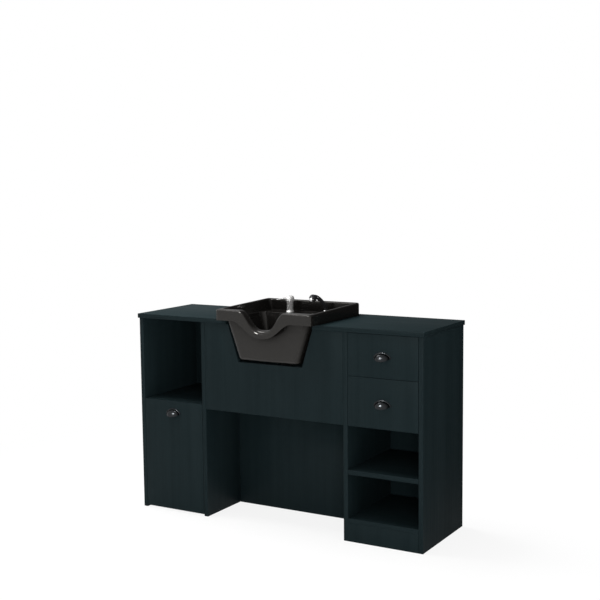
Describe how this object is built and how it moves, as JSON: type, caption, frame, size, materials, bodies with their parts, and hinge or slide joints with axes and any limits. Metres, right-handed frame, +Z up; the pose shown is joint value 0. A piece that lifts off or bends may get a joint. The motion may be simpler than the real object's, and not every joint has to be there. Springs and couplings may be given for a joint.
{
  "type": "shampoo backwash unit",
  "caption": "Salon shampoo station: a cabinet with a dipped bowl in its counter, a lever mixer tap and a hand sprayer, drawers, a tilt-out towel bin, an open niche and shelf bays.",
  "frame": {"origin": "on the floor, under the middle of the whole unit's box", "axes": "+Z up, +X to the viewer's right, front towards -Y, rear face flat against a wall at +Y"},
  "size_m": [1.422, 0.467, 0.994],
  "materials": {
    "laminate": "dark slate laminated board, satin",
    "drawer_board": "dark grey laminated board, matte",
    "bowl": "black, glossy",
    "gunmetal": "dark gunmetal plating, satin",
    "chrome": "polished",
    "runner_steel": "zinc plated",
    "waste_plastic": "light grey, satin",
    "handle_plastic": "black, semi-gloss"
  },
  "bodies": {
    "cabinet": {"counter": "laminate", "apron": "laminate", "knee_panel": "laminate", "left_outer_side": "laminate", "left_inner_side": "laminate", "left_back": "laminate", "niche_floor": "laminate", "left_floor": "laminate", "tilt_stop_rail": "laminate", "door_pivot_left": "runner_steel", "door_pivot_right": "runner_steel", "right_outer_side": "laminate", "right_inner_side": "laminate", "right_back": "laminate", "drawer_deck": "laminate", "bay_shelf": "laminate", "bay_floor": "laminate", "base_front": "laminate", "upper_drawer_left_cabinet_runner": "runner_steel", "upper_drawer_right_cabinet_runner": "runner_steel", "lower_drawer_left_cabinet_runner": "runner_steel", "lower_drawer_right_cabinet_runner": "runner_steel", "bowl_shell": "bowl", "drain_flange": "chrome", "drain_lock_nut": "waste_plastic", "tailpiece": "waste_plastic", "trap_bend": "waste_plastic", "trap_arm": "waste_plastic", "tap_body": "chrome", "sprayer_guide": "chrome"},
    "door": {"tilt_door": "laminate", "door_pull": "gunmetal", "bin_left_side": "laminate", "bin_right_side": "laminate", "bin_floor": "laminate", "bin_back": "laminate"},
    "upper_drawer": {"upper_drawer_front": "laminate", "upper_drawer_pull": "gunmetal", "upper_drawer_left_side": "drawer_board", "upper_drawer_right_side": "drawer_board", "upper_drawer_bottom": "drawer_board", "upper_drawer_back": "drawer_board", "upper_drawer_left_drawer_runner": "runner_steel", "upper_drawer_right_drawer_runner": "runner_steel"},
    "lower_drawer": {"lower_drawer_front": "laminate", "lower_drawer_pull": "gunmetal", "lower_drawer_left_side": "drawer_board", "lower_drawer_right_side": "drawer_board", "lower_drawer_bottom": "drawer_board", "lower_drawer_back": "drawer_board", "lower_drawer_left_drawer_runner": "runner_steel", "lower_drawer_right_drawer_runner": "runner_steel"},
    "tap_cartridge": {"tap_cartridge": "runner_steel"},
    "tap_lever": {"tap_lever": "chrome"},
    "sprayer": {"sprayer_handle": "handle_plastic", "sprayer_nozzle": "chrome"},
    "strainer": {"hair_strainer": "chrome"}
  },
  "joints": [
    {"name": "door_tilt", "type": "hinge", "parent": "cabinet", "child": "door", "pos_m": [-0.525, -0.1725, 0.022], "axis": [1, 0, 0], "range_deg": [0, 30]},
    {"name": "upper_drawer_slide", "type": "slide", "parent": "cabinet", "child": "upper_drawer", "axis": [0, -1, 0], "range_m": [0, 0.26]},
    {"name": "lower_drawer_slide", "type": "slide", "parent": "cabinet", "child": "lower_drawer", "axis": [0, -1, 0], "range_m": [0, 0.26]},
    {"name": "tap_swivel", "type": "hinge", "parent": "cabinet", "child": "tap_cartridge", "pos_m": [-0.097, 0.1395, 0.9566], "axis": [0, 0, 1], "range_deg": [-45, 45]},
    {"name": "tap_lift", "type": "hinge", "parent": "tap_cartridge", "child": "tap_lever", "pos_m": [-0.097, 0.1395, 0.9566], "axis": [-0.5972, 0.8021, 0], "range_deg": [0, 22]},
    {"name": "sprayer_lift", "type": "slide", "parent": "cabinet", "child": "sprayer", "axis": [0, 0, 1], "range_m": [0, 0.12]},
    {"name": "strainer_lift", "type": "slide", "parent": "cabinet", "child": "strainer", "axis": [0, 0, 1], "range_m": [0, 0.05]}
  ]
}
